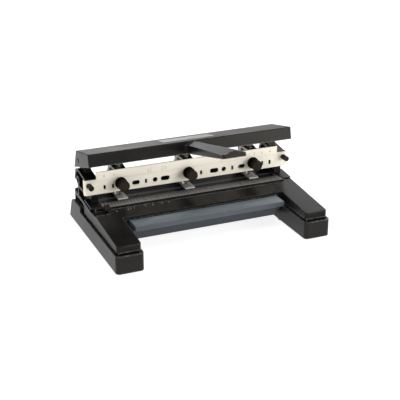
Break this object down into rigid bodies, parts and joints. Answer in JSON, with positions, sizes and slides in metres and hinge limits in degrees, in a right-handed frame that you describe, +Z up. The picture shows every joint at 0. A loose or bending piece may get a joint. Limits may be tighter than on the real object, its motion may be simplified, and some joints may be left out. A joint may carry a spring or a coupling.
{
  "type": "three-hole paper punch",
  "caption": "Desktop hole punch: U-shaped base with a sloping deck, slotted rail with adjustable punch heads and clamp knobs, T-shaped hand lever, chip tray.",
  "frame": {"origin": "on the table, under the centre of the overall box of the punch at rest", "axes": "+X to the user's right along the rail, +Y from the open front of the base to its back, +Z up"},
  "size_m": [0.3324, 0.2479, 0.1658],
  "materials": {
    "black_moulding": "fine matt texture",
    "black_paint": "satin textured paint on a casting",
    "frame_paint": "satin textured paint on a casting",
    "lever_paint": "satin paint",
    "dark_steel": "blued steel sheet",
    "ruler_grey": "anodised strip with fine ticks",
    "guide_plastic": "plain",
    "tray_plastic": "smooth",
    "rail_nickel": "warm nickel-plated sheet",
    "bright_steel": "ground bar",
    "label_metal": "satin foil plate, bare",
    "head_black": "moulded",
    "bracket_zinc": "zinc-plated sheet",
    "spring_steel": "drawn wire",
    "knob_plastic": "moulded, fine flutes",
    "foot_rubber": "matt",
    "screw_steel": "zinc-plated",
    "stud_black": "blackened steel"
  },
  "bodies": {
    "base": {"base_pan": "black_moulding", "deck_casting": "black_paint", "deck_plate": "dark_steel", "ruler_strip": "ruler_grey", "rubber_feet": "foot_rubber", "base_screws": "screw_steel", "frame_screws": "screw_steel", "deck_screws": "screw_steel", "end_frame_left": "frame_paint", "end_frame_right": "frame_paint", "rail": "rail_nickel", "rail_screws": "stud_black", "pivot_rod": "bright_steel", "pivot_clips": "screw_steel"},
    "lever": {"lever_shell": "lever_paint", "presser_bar": "bright_steel", "label_plate": "label_metal"},
    "tray": {"chip_tray": "tray_plastic"},
    "guide": {"paper_guide": "guide_plastic"},
    "head_left": {"head_left_block": "head_black", "head_left_bracket": "bracket_zinc"},
    "pin_left": {"head_left_pin": "bright_steel", "head_left_spring": "spring_steel"},
    "knob_left": {"head_left_knob": "knob_plastic", "head_left_stud": "bright_steel"},
    "head_middle": {"head_middle_block": "head_black", "head_middle_bracket": "bracket_zinc"},
    "pin_middle": {"head_middle_pin": "bright_steel", "head_middle_spring": "spring_steel"},
    "knob_middle": {"head_middle_knob": "knob_plastic", "head_middle_stud": "bright_steel"},
    "head_right": {"head_right_block": "head_black", "head_right_bracket": "bracket_zinc"},
    "pin_right": {"head_right_pin": "bright_steel", "head_right_spring": "spring_steel"},
    "knob_right": {"head_right_knob": "knob_plastic", "head_right_stud": "bright_steel"}
  },
  "joints": [
    {"name": "lever_hinge", "type": "hinge", "parent": "base", "child": "lever", "pos_m": [0, 0.0707, 0.1092], "axis": [1, 0, 0], "range_deg": [0, 26]},
    {"name": "head_left_slide", "type": "slide", "parent": "base", "child": "head_left", "axis": [1, 0, 0], "range_m": [-0.004, 0.004]},
    {"name": "pin_left_slide", "type": "slide", "parent": "head_left", "child": "pin_left", "axis": [0, 0, -1], "range_m": [0, 0.0079], "stiffness_N_per_m": 1500, "springref_m": -0.015, "deforming": ["head_left_spring"]},
    {"name": "knob_left_turn", "type": "hinge", "parent": "head_left", "child": "knob_left", "pos_m": [-0.1106, 0.0339, 0.0794], "axis": [0, -1, 0], "range_deg": [0, 360]},
    {"name": "head_middle_slide", "type": "slide", "parent": "base", "child": "head_middle", "axis": [1, 0, 0], "range_m": [-0.004, 0.004]},
    {"name": "pin_middle_slide", "type": "slide", "parent": "head_middle", "child": "pin_middle", "axis": [0, 0, -1], "range_m": [0, 0.0079], "stiffness_N_per_m": 1500, "springref_m": -0.015, "deforming": ["head_middle_spring"]},
    {"name": "knob_middle_turn", "type": "hinge", "parent": "head_middle", "child": "knob_middle", "pos_m": [-0.0026, 0.0339, 0.0794], "axis": [0, -1, 0], "range_deg": [0, 360]},
    {"name": "head_right_slide", "type": "slide", "parent": "base", "child": "head_right", "axis": [1, 0, 0], "range_m": [-0.004, 0.004]},
    {"name": "pin_right_slide", "type": "slide", "parent": "head_right", "child": "pin_right", "axis": [0, 0, -1], "range_m": [0, 0.0079], "stiffness_N_per_m": 1500, "springref_m": -0.015, "deforming": ["head_right_spring"]},
    {"name": "knob_right_turn", "type": "hinge", "parent": "head_right", "child": "knob_right", "pos_m": [0.1054, 0.0339, 0.0794], "axis": [0, -1, 0], "range_deg": [0, 360]},
    {"name": "tray_slide", "type": "slide", "parent": "base", "child": "tray", "axis": [0, -1, 0], "range_m": [0, 0.07]},
    {"name": "guide_slide", "type": "slide", "parent": "base", "child": "guide", "axis": [1, 0, 0], "range_m": [0, 0.095]}
  ],
  "couplings": [
    {"joint": "pin_left_slide", "follows": "lever_hinge", "m_per_rad": 0.0173},
    {"joint": "pin_middle_slide", "follows": "lever_hinge", "m_per_rad": 0.0173},
    {"joint": "pin_right_slide", "follows": "lever_hinge", "m_per_rad": 0.0173}
  ]
}
